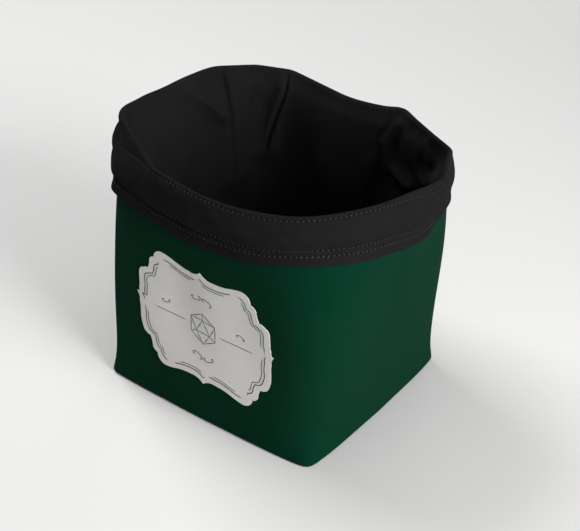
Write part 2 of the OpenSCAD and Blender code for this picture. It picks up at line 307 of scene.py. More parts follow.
# Each fold of the lining: how far it stands in and over what half width, how deep and wide the crease along
# its middle is, and the (direction, level) points it runs through
CREASES = [
    (3.4, 10.0, 3.6, 1.9, [(156, 162), (155.5, 148), (153, 122), (150, 90)]),
    (3.8, 9.0, 2.9, 1.8, [(128.5, 162), (129, 148), (130.5, 134), (134, 104)]),
    (5.6, 5.0, 0.0, 1.0, [(183, 163), (176, 156), (167, 143), (159, 131)]),
    (4.6, 5.0, 0.0, 1.0, [(72, 161), (76, 152), (78.5, 139), (75, 126), (62, 118)]),
    (5.2, 6.5, 0.0, 1.0, [(18, 150), (30, 146), (42, 138), (52, 128)]),
    (2.6, 3.2, 0.0, 1.0, [(50, 161), (54, 155), (50, 145)]),
    (1.8, 5.0, 0.0, 1.0, [(207, 160), (214, 146), (223, 118)])]
# Height over which a fold fades out at its lower end
CREASE_FADE = 24
# Level from which the lining closes up to the green strip
CLOSE_LEVEL = 146
# Distance from the centre at which widths on the lining and on the outside are measured
LINING_REACH, OUTER_REACH = 90, 82


def line_distance(s, z, a, b):
    """Distance from points (s, z) to the segment from a to b."""
    d = np.subtract(b, a)
    t = np.clip(((s - a[0]) * d[0] + (z - a[1]) * d[1]) / (d @ d), 0, 1)
    return np.hypot(s - a[0] - t * d[0], z - a[1] - t * d[1])


def crease_relief(th, z):
    """How far the lining is creased inwards."""
    relief = np.zeros(np.broadcast(th, z).shape)
    for height, width, depth, narrow, points in CREASES:
        middle = points[0][0]
        line = [(arc_from(turn, middle, LINING_REACH), level) for turn, level in points]
        s = arc_from(th, middle, LINING_REACH)
        away = np.min([line_distance(s, z, a, b) for a, b in zip(line, line[1:])], axis=0)
        fade = np.clip((z - line[-1][1]) / CREASE_FADE + 1, 0, 1)
        fold = height * np.exp(-np.abs(away / width) ** 1.6) - depth * bump(away, narrow)
        relief = relief + fold * fade
    return relief


def seam_relief(th):
    """Ridge of the lining's seam, with the stitched line sunk in its middle."""
    s = arc_from(th, SEAM_TURN, LINING_REACH)
    return bump(s, 2.6) - 0.7 * bump(s, 0.7)


def lining_offset(th, z):
    """Offset of the lining's middle on the inside of the bag."""
    above_floor = np.clip((z - 6) / 20, 0, 1)
    under_fold = np.clip((RIM - FOLD - z) / 5, 0, 1)
    relief = (crease_relief(th, z) + seam_relief(th)) * above_floor
    close = np.clip((z - CLOSE_LEVEL) / (RIM - FOLD - CLOSE_LEVEL - 1), 0, 1)
    layer = LINING + (LINING_TOP - LINING) * close ** 2 * (3 - 2 * close)
    return layer - relief * (0.3 + 0.7 * under_fold)


# -------- meshes

# Columns of every cloth that goes round the bag, and their directions
COLUMNS = 600
TURNS = np.arange(COLUMNS) * 360 / COLUMNS


def put(name, data):
    """A new object in the scene."""
    obj = bpy.data.objects.new(name, data)
    bpy.context.scene.collection.objects.link(obj)
    return obj


def make_object(name, points, faces, uv=None):
    """A mesh object from points in millimetres."""
    mesh = bpy.data.meshes.new(name)
    mesh.from_pydata((np.asarray(points) * MM).tolist(), [], [list(f) for f in faces])
    if uv is not None:
        layer = mesh.uv_layers.new(name="cloth")
        loops = np.zeros(len(mesh.loops), np.int32)
        mesh.loops.foreach_get("vertex_index", loops)
        layer.data.foreach_set("uv", uv(mesh, loops).astype(np.float32).ravel())
    mesh.validate()
    mesh.shade_smooth()
    return put(name, mesh)


def grid_normals(grid, closed):
    """Unit normals of a grid of points (rows, columns, 3) whose rows may close on themselves."""
    along = np.gradient(grid, axis=0)
    if closed:
        across = (np.roll(grid, -1, 1) - np.roll(grid, 1, 1)) / 2
    else:
        across = np.gradient(grid, axis=1)
    normal = np.cross(across, along)
    return normal / np.maximum(np.linalg.norm(normal, axis=-1, keepdims=True), 1e-9)


def cell_quads(rows, columns, closed):
    """Corner numbers of every cell of a grid of points, by row and column."""
    wide = columns if closed else columns - 1
    i, j = np.meshgrid(np.arange(rows - 1), np.arange(wide), indexing="ij")
    here, right = i * columns + j, i * columns + (j + 1) % columns
    return np.stack([here, right, right + columns, here + columns], -1)


def border_edges(quads, keep):
    """Directed edges of the kept cells that no other kept cell shares."""
    kept = quads[keep]
    edges = np.concatenate([kept[:, [k, (k + 1) % 4]] for k in range(4)])
    own = set(map(tuple, edges))
    return [e for e in map(tuple, edges) if (e[1], e[0]) not in own]


def sheet(name, grid, thickness, closed=True, hole=None):
    """A sheet of cloth round a middle surface: two faces, closed off along every edge."""
    rows, columns, _ = grid.shape
    normal = grid_normals(grid, closed)
    out = (grid + normal * thickness / 2).reshape(-1, 3)
    back = (grid - normal * thickness / 2).reshape(-1, 3)
    quads = cell_quads(rows, columns, closed)
    keep = np.ones(quads.shape[:2], bool) if hole is None else ~hole(quads.shape[:2])
    count = rows * columns
    front_faces = quads[keep]
    back_faces = front_faces[:, ::-1] + count
    rim = [(b, a, a + count, b + count) for a, b in border_edges(quads, keep)]
    faces = np.concatenate([front_faces, back_faces, np.array(rim)])
    return make_object(name, np.vstack([out, back]), faces, uv=cloth_uv(grid, closed))


def cloth_uv(grid, closed):
    """Unrolled cloth coordinates in metres, for the weave."""
    rows, columns, _ = grid.shape
    ring = grid.swapaxes(0, 1)
    if closed:
        ring = np.vstack([ring, ring[:1]])
    u, v = lengths_along(ring), lengths_along(grid)

    def uv(mesh, loops):
        row, column = np.divmod(loops % (rows * columns), columns)
        starts = np.zeros(len(mesh.polygons), np.int32)
        totals = np.zeros(len(mesh.polygons), np.int32)
        mesh.polygons.foreach_get("loop_start", starts)
        mesh.polygons.foreach_get("loop_total", totals)
        widest = np.repeat(np.maximum.reduceat(column, starts), totals)
        wrapped = closed & (widest == columns - 1) & (column == 0)
        return np.stack([u[np.where(wrapped, columns, column)], v[row]], -1) * MM

    return uv


def tube(path, size, sides=12, relief=None):
    """Points and faces of a tube along a path, round or with a relief by angle and length, its ends domed."""
    tangent = np.gradient(path, axis=0)
    tangent /= np.linalg.norm(tangent, axis=1, keepdims=True)
    side = np.cross(tangent[0], [0, 0, 1.0] if abs(tangent[0][2]) < 0.9 else [0, 1.0, 0])
    length = lengths_along(path)
    angle = np.arange(sides) * 2 * np.pi / sides
    rings = []
    for point, way, reach in zip(path, tangent, length):
        side = side - way * (side @ way)
        side /= np.linalg.norm(side)
        up = np.cross(way, side)
        end = min(reach, length[-1] - reach) / size
        dome = math.sqrt(max(1 - (1 - min(end, 1)) ** 2, 0.02))
        r = dome * (size if relief is None else size + relief(angle, reach))
        r = np.broadcast_to(r, angle.shape)[:, None]
        rings.append(point + r * (np.cos(angle)[:, None] * side + np.sin(angle)[:, None] * up))
    quads = cell_quads(len(rings), sides, True)[:, :, ::-1].reshape(-1, 4).tolist()
    caps = [list(range(sides)), [(len(rings) - 1) * sides + k for k in reversed(range(sides))]]
    return np.vstack(rings), quads + caps


def join(name, parts):
    """One object from several parts, each a pair of points and faces."""
    faces, count = [], 0
    for points, part_faces in parts:
        faces += [[v + count for v in f] for f in part_faces]
        count += len(points)
    return make_object(name, np.vstack([points for points, _ in parts]), faces)


# -------- loose cloth

# The simulated cloth takes every third column and a row about each 2.8 mm, and is left to settle this long
SIM_COLUMN, SIM_ROW, SIM_FRAMES = 3, 2.8, 18
# How much the cloth grows between its seams, and how free a point must be to move at all
GROWTH, HELD_BELOW = 0.014, 0.15
# The highest wrinkles on the lining and on the cuff, the deepest dent, and the furthest slide along the cloth
LINING_WRINKLE, CUFF_WRINKLE, MOST_DENT, MOST_SLIDE = 3.4, 0.8, 0.2, 0.6
# Thin cotton with a little too much of it between its seams
COTTON = {
    "quality": 5, "mass": 0.001, "air_damping": 1.0, "tension_stiffness": 10.0, "compression_stiffness": 10.0,
    "shear_stiffness": 4.0, "bending_stiffness": 0.25, "vertex_group_mass": "held",
    "vertex_group_shrink": "taut", "shrink_min": -GROWTH, "shrink_max": 0.0}


def settle(points, held, loose):
    """Simulates a closed grid of cloth, held at some points, and returns where its points come to rest."""
    rows, columns, _ = points.shape
    obj = make_object("loose_cloth", points.reshape(-1, 3), cell_quads(rows, columns, True).reshape(-1, 4))
    for name, weights in (("held", held), ("taut", 1 - loose)):
        group = obj.vertex_groups.new(name=name)
        for k, weight in enumerate(weights.ravel()):
            group.add([k], float(weight), "REPLACE")
    modifier = obj.modifiers.new("cloth", "CLOTH")
    for key, value in COTTON.items():
        setattr(modifier.settings, key, value)
    modifier.settings.effector_weights.gravity = 0.0
    modifier.collision_settings.use_collision = False
    modifier.point_cache.frame_end = SIM_FRAMES
    scene = bpy.context.scene
    for frame_number in range(1, SIM_FRAMES + 1):
        scene.frame_set(frame_number)
    rested = obj.evaluated_get(bpy.context.evaluated_depsgraph_get())
    found = np.zeros(rows * columns * 3)
    rested.data.vertices.foreach_get("co", found)
    mesh = obj.data
    bpy.data.objects.remove(obj)
    bpy.data.meshes.remove(mesh)
    scene.frame_set(1)
    return found.reshape(rows, columns, 3) / MM


def blur(values, times):
    """Evens out a grid that closes on itself along its rows."""
    for _ in range(times):
        values = (np.roll(values, 1, 1) + 2 * values + np.roll(values, -1, 1)) / 4
        padded = np.concatenate([values[:1], values, values[-1:]])
        values = (padded[:-2] + 2 * padded[1:-1] + padded[2:]) / 4
    return values


def within(value, most):
    """The value, eased off so that it never passes `most`."""
    return most * np.tanh(value / most)


def crumple(grid, freedom, highest):
    """The grid with its loose stretches wrinkled: freedom 0..1 at each point, wrinkles up to `highest`."""
    along = lengths_along(grid)
    picks = np.unique([np.abs(along - v).argmin() for v in np.arange(0, along[-1] + SIM_ROW, SIM_ROW)])
    coarse, free = grid[picks][:, ::SIM_COLUMN], freedom[picks][:, ::SIM_COLUMN]
    moved = settle(coarse, (free < HELD_BELOW).astype(float), free) - coarse
    rowwise = np.array([[np.interp(along, along[picks], moved[:, j, k]) for k in range(3)]
                        for j in range(moved.shape[1])])
    turns = TURNS[::SIM_COLUMN]
    fine = np.array([[around(TURNS, turns, rowwise[:, k, i]) for k in range(3)]
                     for i in range(len(along))]).transpose(0, 2, 1)
    fine = blur(fine, 3) * freedom[..., None]
    normal = -grid_normals(grid, True)
    lift = (fine * normal).sum(-1, keepdims=True)
    slide = fine - lift * normal
    lift = np.where(lift > 0, within(lift, highest[..., None]), within(lift, MOST_DENT))
    return grid + normal * lift + within(slide, MOST_SLIDE)


# -------- fabric pieces

HEM_TURN_UP = 5.0
# Lowest level of the plain walls, and the spacing of their rows
WALL_LOW, WALL_STEP = 3.4, 1.7
# Rows over the fold, down the black cuff, and down the hidden green layer
FOLD_ROWS, CUFF_ROWS, HIDDEN_ROWS = 7, 61, 33
# Level where the fold starts, and the offset of the middle between its two sides
FOLD_LOW, FOLD_MIDDLE = RIM - FOLD, (LINING_TOP + CUFF_TOP) / 2
# The base seam: how far in and how high above the floor the wall turns under
TURN_IN, SEAM_LEVEL = 1.7, 0.5
# The interfacing's lowest level, its top and the spacing of its rows
FELT_LOW, FELT_TOP, FELT_STEP = 3.6, RIM - 15, 4
# How far a stitched row holds the cloth to each side, and where the lining comes loose above the floor
HOLD, LOOSE_LEVEL, LOOSE_RISE = 1.6, 35, 60
# Half the width, in degrees, and half the height of the slot that the cord leaves through
SLOT_TURN, SLOT_HEIGHT = 2.6, 3.5


def lay(rows):
    """Grid of points from rows of (offset, level), each a value or one per direction."""
    return np.array([place(TURNS, o, z) for o, z in rows])


def lining_rows():
    """The black strip: up inside the bag, over the fold, down the cuff and turned up at its hem."""
    rows = [(lining_offset(TURNS, z), z) for z in spaced(WALL_LOW, FOLD_LOW, WALL_STEP)]
    start, rise = lining_offset(TURNS, FOLD_LOW), FOLD - FABRIC / 2
    for a in np.linspace(0, np.pi / 2, FOLD_ROWS + 1)[1:]:
        rows.append((FOLD_MIDDLE + (start - FOLD_MIDDLE) * np.cos(a), FOLD_LOW + rise * np.sin(a)))
    hem = rows_of(TURNS)[3]
    for share in np.linspace(0, 1, CUFF_ROWS + 1)[1:] ** 1.15:
        depth = hem * share
        over = np.clip((FOLD - depth) / FOLD, 0, 1)
        rows.append((cuff_offset(TURNS, depth), RIM - depth - FABRIC / 2 * over ** 2))
    edge = cuff_offset(TURNS, hem)
    for a in np.linspace(0, np.pi, 7)[1:]:
        rows.append((edge - PLY / 2 * (1 - np.cos(a)), RIM - hem - PLY / 2 * np.sin(a)))
    for up in spaced(0, HEM_TURN_UP, 1.2)[1:]:
        rows.append((edge - PLY, RIM - hem + up))
    return rows


def outer_rows():
    """The green strip: in from the base seam, up the outside, under the fold, down behind the cuff."""
    rows = [(OUTER - TURN_IN - 1.6, SEAM_LEVEL + 0.25), (OUTER - TURN_IN - 0.8, SEAM_LEVEL)]
    for a in np.linspace(0, np.pi / 2, 7):
        rows.append((OUTER - TURN_IN * (1 - np.sin(a)), SEAM_LEVEL + TURN_IN * (1 - np.cos(a))))
    rows += [(OUTER + back_seam(TURNS), z) for z in spaced(WALL_LOW, FOLD_LOW, WALL_STEP)]
    top = FABRIC / 2 + PLY
    for a in np.linspace(0, np.pi / 2, 6)[1:]:
        rows.append((FOLD_MIDDLE + (OUTER - FOLD_MIDDLE) * np.cos(a), FOLD_LOW + (FOLD - top) * np.sin(a)))
    outside = inner_cuff_offset(TURNS, FOLD)
    for a in np.linspace(0, np.pi / 2, 5)[1:]:
        depth = top + (FOLD - top) * (1 - np.cos(a))
        rows.append((FOLD_MIDDLE + (outside - FOLD_MIDDLE) * np.sin(a), RIM - depth))
    hem = rows_of(TURNS)[3] - HEM_TURN_UP - 1
    for share in np.linspace(0, 1, HIDDEN_ROWS + 1)[1:]:
        depth = FOLD + (hem - FOLD) * share
        rows.append((inner_cuff_offset(TURNS, depth), RIM - depth))
    return rows


def back_seam(th):
    """Groove of the seam that closes the green strip."""
    s = arc_from(th, TAIL_TURN, OUTER_REACH)
    return 0.25 * bump(s, 3.2) - 0.75 * bump(s, 0.8)


def looseness(rows):
    """How free each point of the black strip is to wrinkle, and how high: it is held at every seam."""
    inside = len(spaced(WALL_LOW, FOLD_LOW, WALL_STEP))
    level = np.array([np.broadcast_to(z, TURNS.shape) for _, z in rows])
    depth = RIM - level
    *held, hem = rows_of(TURNS)
    seams = np.prod([1 - bump(depth - row, HOLD) for row in held], axis=0)
    cuff = seams * np.clip((depth - FOLD) / 3, 0, 1) * (depth < hem - 0.4)
    lining = np.clip((level - LOOSE_LEVEL) / LOOSE_RISE, 0, 1) * np.clip((FOLD_LOW - 1 - level) / 6, 0, 1)
    row = np.arange(len(rows))[:, None]
    freedom = np.where(row < inside, lining, np.where(row > inside + FOLD_ROWS + CUFF_ROWS, 0, cuff))
    return freedom, np.where(row < inside, LINING_WRINKLE, CUFF_WRINKLE)


def make_lining():
    rows = lining_rows()
    obj = sheet("lining_wall_cloth", crumple(lay(rows), *looseness(rows)), FABRIC)
    finish_piece(obj, "lining_wall", "lining")


def channel_middle(th):
    """Level of the middle of the cord channel."""
    upper, twin, _, _ = rows_of(th)
    return RIM - (upper + twin) / 2


def make_outer():
    grid = lay(outer_rows())

    def hole(shape):
        """Cells of the slot that the cord leaves through, in the hidden layer behind the cuff."""
        behind = np.abs(turn_between(TURNS + 0.3, TAIL_TURN)) < SLOT_TURN
        hidden = np.arange(shape[0]) > shape[0] - HIDDEN_ROWS
        middle = channel_middle(TURNS) + rim_rise(TURNS)
        return behind & hidden[:, None] & (np.abs(grid[:-1, :, 2] - middle) < SLOT_HEIGHT)

    obj = sheet("outer_wall_cloth", grid, FABRIC, hole=hole)
    finish_piece(obj, "outer_wall", "outer")


def make_interfacing():
    grid = lay([(INTERFACING, z) for z in spaced(FELT_LOW, FELT_TOP, FELT_STEP)])
    obj = sheet("wall_interfacing_felt", grid, STIFF)
    finish_piece(obj, "wall_interfacing", "felt")


def make_panel(name, edge_offset, level, thickness, belly):
    """A square panel inside the wall, in rings from its edge to its middle."""
    edge = place(TURNS, edge_offset, 0)
    rings = []
    for share in np.linspace(1, 0.02, PANEL_RINGS):
        ring = edge * share
        ring[:, 2] = level + belly * (1 - share ** 2) ** 2
        rings.append(ring)
    obj = sheet(name, np.array(rings), thickness)
    fill_centre(obj)
    return obj


def fill_centre(obj):
    """Closes the small hole left in the middle of a panel, on both faces and nothing between."""
    count = PANEL_RINGS * COLUMNS
    last = range(count - COLUMNS, count)
    work = bmesh.new()
    work.from_mesh(obj.data)
    work.verts.ensure_lookup_table()
    front, back = [work.verts[k] for k in last], [work.verts[k + count] for k in reversed(last)]
    inner = {*front, *back}
    between = [f for f in work.faces if all(v in inner for v in f.verts)]
    bmesh.ops.delete(work, geom=between, context="FACES_ONLY")
    work.faces.new(front)
    work.faces.new(back)
    bmesh.ops.recalc_face_normals(work, faces=work.faces)
    work.to_mesh(obj.data)
    work.free()


# Each panel: piece, node, slot, material, offset of its edge, level, thickness, and how its middle bellies up
PANELS = [
    ("outer_base_cloth", "outer_base", "outer_fabric", "outer", OUTER - 4.7, 0.55, FABRIC, 0.25),
    ("base_stiffener_felt", "base_stiffener", "interfacing", "felt", INTERFACING - 3.2, 1.85, STIFF, 0.2),
    ("lining_base_cloth", "lining_base", "lining_fabric", "lining", LINING - 0.75, 3.6, FABRIC, 1.4)]
PANEL_RINGS = 40


def make_panels():
    for name, node, slot, material, *sizes in PANELS:
        finish_piece(make_panel(name, *sizes), node, material)


# -------- stitching

# Pitch of the stitches, share of it that the thread shows, its radius, and how deep its ends sink
STITCH, STITCH_SHARE, THREAD, STITCH_SINK = 2.85, 0.52, 0.26, 0.6
# Radius of the dark tube painted as shade in a needle hole, and how deep its middle lies
HOLE, HOLE_SINK = 0.27, 0.14
# Stitches that go over the start of a row again, and how much lower they run
BACK_TACK, BACK_TACK_DROP = 6, 0.45


def one_stitch(points_at, start, length):
    """A stitch that rises out of the cloth and dives back into it."""
    share = np.linspace(0, 1, 7)
    sink = STITCH_SINK * np.abs(2 * share - 1) ** 2
    return tube(points_at(start + share * length, sink), THREAD, sides=6)


def stitch_row(points_at, length):
    """Stitches along a line: points_at(s, sink) gives points at lengths s, sunk by `sink` into the cloth."""
    count = int(length / STITCH)
    pitch = length / count
    return [one_stitch(points_at, k * pitch, pitch * STITCH_SHARE) for k in range(count)]


def needle_hole_shade(points_at, length):
    """The dark dips between the stitches, where the thread goes through the cloth: near-black tubes, painted
    shade.
    """
    count = int(length / STITCH)
    pitch = length / count
    dips = [(k + np.linspace(STITCH_SHARE, 1, 5)) * pitch for k in range(count)]
    return [tube(points_at(s, HOLE_SINK), HOLE, sides=6) for s in dips]


def ring_line(offset_at, level_at):
    """points_at for a line round the bag, and the line's length."""
    turns = np.linspace(0, 360, 2401)
    reach = lengths_along(place(turns, offset_at(turns), level_at(turns)))

    def points_at(s, sink):
        th = np.interp(s, reach, turns)
        return place(th, offset_at(th) - sink, level_at(th))

    return points_at, reach[-1]


def cuff_row(name, node, which, start_turn):
    """A stitched row round the cuff, with a short overlap where it starts and stops."""
    def offset(th):
        return cuff_offset(th, rows_of(th)[which]) + FABRIC / 2 + 0.12

    def line(drop):
        return ring_line(offset, lambda th: RIM - rows_of(th)[which] - drop)

    points_at, length = line(0)
    again, _ = line(BACK_TACK_DROP)
    start = start_turn / 360 * length
    tack = [one_stitch(again, start + (k + 0.4) * STITCH, STITCH * STITCH_SHARE) for k in range(BACK_TACK)]
    stitches = join(name, stitch_row(points_at, length) + tack)
    finish_piece(stitches, node, "grey_thread")
    # Near-black tubes between the stitches: painted shade in the needle holes
    hole_shade = join(name + "_holes", needle_hole_shade(points_at, length))
    finish_piece(hole_shade, node, "hole")


def wall_row(name, node, turn, offset, low, high, material):
    """A stitched seam up the wall."""
    def points_at(s, sink):
        return place(np.full(len(s), turn), offset(low + s) - sink * np.sign(offset(low)), low + s)

    finish_piece(join(name, stitch_row(points_at, high - low)), node, material)


def seam_ring(name, node, offset, level, material):
    """A hidden seam round the foot of the wall."""
    points_at, length = ring_line(lambda th: offset, lambda th: level)
    finish_piece(join(name, stitch_row(points_at, length)), node, material)


def make_stitching():
    cuff_row("channel_upper_stitches", "channel_upper_stitching", 0, 280)
    cuff_row("channel_lower_stitches", "channel_lower_stitching", 1, 300)
    cuff_row("hem_stitches", "hem_stitching", 2, 306)
    seam_ring("outer_base_seam_stitches", "outer_base_seam_thread", OUTER - 4.4, 1.0,
              "green_thread")
    seam_ring("lining_base_seam_stitches", "lining_base_seam_thread", LINING, 2.7,
              "grey_thread")
    wall_row("outer_back_seam_stitches", "outer_back_seam_thread", TAIL_TURN,
             lambda z: OUTER + back_seam(TAIL_TURN) + FABRIC / 2 + 0.05, 5, 140,
             "green_thread")
    wall_row("lining_side_seam_stitches", "lining_side_seam_thread", SEAM_TURN,
             lambda z: lining_offset(SEAM_TURN, z) - FABRIC / 2 + 0.1, 9, 152,
             "black_thread")


# -------- label

LABEL_LOW, LABEL_HIGH = node_box("label_patch")
LABEL_X, _, LABEL_Z = (LABEL_LOW + LABEL_HIGH) / 2
# Half sizes; the plaque ends this much short of the CAD's plate on each side
LABEL_TRIM = 0.65
LABEL_W, LABEL_H = (LABEL_HIGH[0] - LABEL_LOW[0]) / 2 - LABEL_TRIM, (LABEL_HIGH[2] - LABEL_LOW[2]) / 2
LABEL_T, LABEL_GAP = 0.4, 0.12
# It sits on a face that leans there: turned by so many degrees, and sheared
LABEL_TILT, LABEL_SHEAR = -1.6, 0.062

# Quarter of the plaque's outline as shares of its half width and half height: cusp, swoop, rounded corner,
# two stepped shoulders, side tip. Each stretch has a bulge: above 0 swells outwards, below 0 hollows.
PLAQUE = [
    (0.0, 0.985, -0.12), (0.18, 0.912, -0.04), (0.40, 0.95, 0.03), (0.57, 1.0, 0.10), (0.66, 0.96, 0.12),
    (0.70, 0.845, 0.16), (0.775, 0.77, -0.06), (0.81, 0.60, 0.10), (0.875, 0.575, 0.12),
    (0.93, 0.50, 0.06), (0.952, 0.37, -0.05), (0.96, 0.13, -0.2), (1.0, 0.0, 0.0)]
# How far the side tips ride up, and the distances from the centre at which the face's points are solved
TIP_RISE = 4.2
FACE_REACH, FACE_PITCH = 78, 80

# Printed lines: inset from the edge, width, and gap left at each break as a share of the outline's length
BORDERS = [(4.4, 0.55, 0.006), (6.3, 0.4, 0.018)]
# Where each half of the outline starts and stops its four lines, as shares of its length
BORDER_BREAKS = [(0.0, 0.150), (0.156, 0.25), (0.25, 0.344), (0.350, 0.5)]
# Flourishes: centre, size (below 0 mirrors it) and turn in radians
SCROLLS = [(-4, 20, 9, 0.3), (4, 20, -9, -0.3), (-4, -20, -9, -0.3), (4, -20, 9, 0.3), (-27, 7, 7, 0.2),
           (27, 7, -7, -0.2)]
DIE_SIZE = 10.5
# The rule across the middle: where it starts beside the die and where it stops
RULE_START, RULE_END = 13, 0.71 * LABEL_W


def arc_between(a, b, bulge, count):
    """Points from a to b, on a shallow arc that stands off its chord by bulge times its length."""
    t = np.linspace(0, 1, count, endpoint=False)[:, None]
    normal = np.array([(b - a)[1], -(b - a)[0]])
    return a + (b - a) * t - normal * bulge * 4 * t * (1 - t)


def plaque(inset=0.0, count=6):
    """The plaque's outline in millimetres about its centre, anticlockwise from the right tip."""
    size = np.array([LABEL_W - inset, LABEL_H - inset])
    points, bulges = np.array(PLAQUE)[:, :2] * size, np.array(PLAQUE)[:, 2]
    quarter = [arc_between(*pair, count) for pair in zip(points, points[1:], bulges)]
    quarter = np.vstack(quarter + [points[-1:]])
    left = quarter[::-1][:-1] * [-1, 1]
    top = np.vstack([left, quarter])[::-1]
    whole = np.vstack([top, top[::-1] * [1, -1]])
    whole[:, 1] += TIP_RISE * np.clip((np.abs(whole[:, 0]) / size[0] - 0.9) / 0.1, 0, 1)
    return whole


def on_face(flat, offset):
    """Points of the label's plane, (along, up) about its centre, laid on the front of the bag."""
    tilt = math.radians(LABEL_TILT)
    x = LABEL_X + flat[..., 0] * math.cos(tilt) - flat[..., 1] * (math.sin(tilt) + LABEL_SHEAR)
    height = LABEL_Z + flat[..., 0] * math.sin(tilt) + flat[..., 1] * math.cos(tilt)
    th, z = 270 + np.degrees(np.arctan2(x, FACE_REACH)), height
    for _ in range(12):
        p = place(th, offset, z)
        th = th + np.degrees((x - p[..., 0]) / FACE_PITCH)
        z = z + height - p[..., 2]
    return place(th, offset, z)


def make_label():
    outline = plaque()
    half = len(outline) // 2
    top, bottom = outline[:half], outline[:half - 1:-1]
    shares = np.linspace(0, 1, 22)[:, None, None]
    flat = bottom[None] + (top - bottom)[None] * shares
    grid = on_face(flat, LABEL_GAP + LABEL_T / 2)
    obj = sheet("label_plaque", grid, LABEL_T, closed=False)
    obj.data.set_sharp_from_angle(angle=math.radians(40))
    finish_piece(obj, "label_patch", "label")


def ribbon(flat, width):
    """A thin printed line along flat points, laid on the label: its points and faces."""
    way = np.gradient(flat, axis=0)
    way /= np.linalg.norm(way, axis=1, keepdims=True)
    side = np.stack([-way[:, 1], way[:, 0]], 1) * width / 2
    count = np.arange(len(flat))
    taper = np.clip(np.minimum(count, count[::-1]) / 3, 0.25, 1)[:, None]
    low = LABEL_GAP + LABEL_T + 0.02
    lines = [on_face(flat + s * side * taper, low + h) for s, h in ((-1, 0), (-1, 0.1), (1, 0.1), (1, 0))]
    quads = cell_quads(len(flat), 4, True).reshape(-1, 4).tolist()
    ends = [[3, 2, 1, 0], [(len(flat) - 1) * 4 + k for k in range(4)]]
    return np.stack(lines, 1).reshape(-1, 3), quads + ends


def border_lines():
    """Two fine lines inside the plaque's edge, broken at its corners."""
    parts = []
    for inset, width, gap in BORDERS:
        outline = plaque(inset, 8)
        reach = lengths_along(outline)
        for half in (0, 0.5):
            for a, b in BORDER_BREAKS:
                s = np.linspace(half + a + gap, half + b - gap, 60) * reach[-1]
                parts.append(ribbon(np.stack([np.interp(s, reach, c) for c in outline.T], 1), width))
    return parts


def die_outline():
    """A twenty-sided die seen on a face: hexagon, middle triangle and the lines between them."""
    def spoke(k, r):
        a = math.radians(90 + 60 * k)
        return r * np.array([math.cos(a), math.sin(a)])

    hexagon = [spoke(k, DIE_SIZE) for k in range(6)]
    inner = [spoke(k, DIE_SIZE * 0.56) for k in (0, 2, 4)]
    edges = [(hexagon[k], hexagon[(k + 1) % 6]) for k in range(6)]
    edges += [(inner[k], inner[(k + 1) % 3]) for k in range(3)]
    for k, corner in enumerate(inner):
        edges += [(corner, hexagon[(2 * k + j) % 6]) for j in (-1, 0, 1)]
    return [ribbon(np.linspace(a, b, 6), 0.7) for a, b in edges]


def scroll(centre, size, turn, winding=2.1):
    """A printed flourish: a double curl that winds up towards both its ends."""
    t = np.linspace(-1, 1, 70)
    bend = turn + winding * math.pi * t ** 2 * np.sign(t) * np.sign(size)
    step = np.stack([np.cos(bend), np.sin(bend)], 1) * abs(size) * 2 / len(t)
    path = np.cumsum(step * (1.25 - np.abs(t))[:, None], axis=0)
    return ribbon(path - path.mean(0) + centre, 0.4)


def make_print():
    parts = border_lines() + die_outline()
    for ends in ((-RULE_END, -RULE_START), (RULE_START, RULE_END)):
        parts.append(ribbon(np.stack([np.linspace(*ends, 30), np.zeros(30)], 1), 0.35))
    parts += [scroll((x, z), size, turn) for x, z, size, turn in SCROLLS]
    finish_piece(join("label_print_lines", parts), "label_border_print", "ink")


# -------- drawstring

TAILS_LOW, TAILS_HIGH = node_box("cord_tails")
CORD_R = (TAILS_HIGH[1] - TAILS_LOW[1]) / 2
TAIL_X = TAILS_HIGH[0] - CORD_R
TAIL_Y = (TAILS_HIGH[1] + TAILS_LOW[1]) / 2
TAIL_END = TAILS_LOW[2]
# The tails start behind the cuff and stay behind it when they are pulled out
TAIL_TOP = TAILS_HIGH[2] - 7
BEND_END = TAIL_TOP - 11
# The braid: strands that wind each way, the length in which each moves up to the next, and the relief's depth
STRANDS, BRAID_PITCH, BRAID_DEPTH = 4, 7.0, 0.11
# How far from the tails' direction the ring in the channel stops and the bends to the tails start, in degrees
RING_GAP, BEND_START = 3.2, 3.4


def braid(angle, reach):
    """Relief of a round braid, whose strands wind both ways and pass over each other."""
    turn = 2 * np.pi * reach / BRAID_PITCH
    left, right = np.cos(STRANDS * angle + turn), np.cos(STRANDS * angle - turn)
    return BRAID_DEPTH * (np.maximum(left, right) - 1) - 0.01


def make_tails():
    parts = []
    for side in (-1, 1):
        z = spaced(TAIL_TOP, TAIL_END, 0.33)
        sway = 0.036 * np.sin((z - TAIL_END) / 13 + side)
        path = np.stack([side * TAIL_X + 0 * z, TAIL_Y + sway, z], 1)
        parts.append(tube(path, CORD_R, sides=24, relief=braid))
    finish_piece(join("cord_tails_braid", parts), "cord_tails", "cord", body="cord_tails")


def channel_point(th):
    """Middle of the cord inside its channel."""
    depth = RIM - channel_middle(th)
    return place(th, cuff_offset(th, depth) - FABRIC / 2 - CORD_R - 0.15, RIM - depth)


def make_channel_cord():
    turns = np.linspace(TAIL_TURN + RING_GAP, TAIL_TURN + 360 - RING_GAP, 900)
    ring = tube(channel_point(turns), CORD_R, sides=16, relief=braid)
    finish_piece(join("channel_cord_braid", [ring]), "channel_cord", "cord")


def bezier(points, count):
    """Points along a cubic Bezier curve."""
    t = np.linspace(0, 1, count)[:, None]
    a, b, c, d = (np.array(p, float) for p in points)
    return a * (1 - t) ** 3 + 3 * b * t * (1 - t) ** 2 + 3 * c * t ** 2 * (1 - t) + d * t ** 3


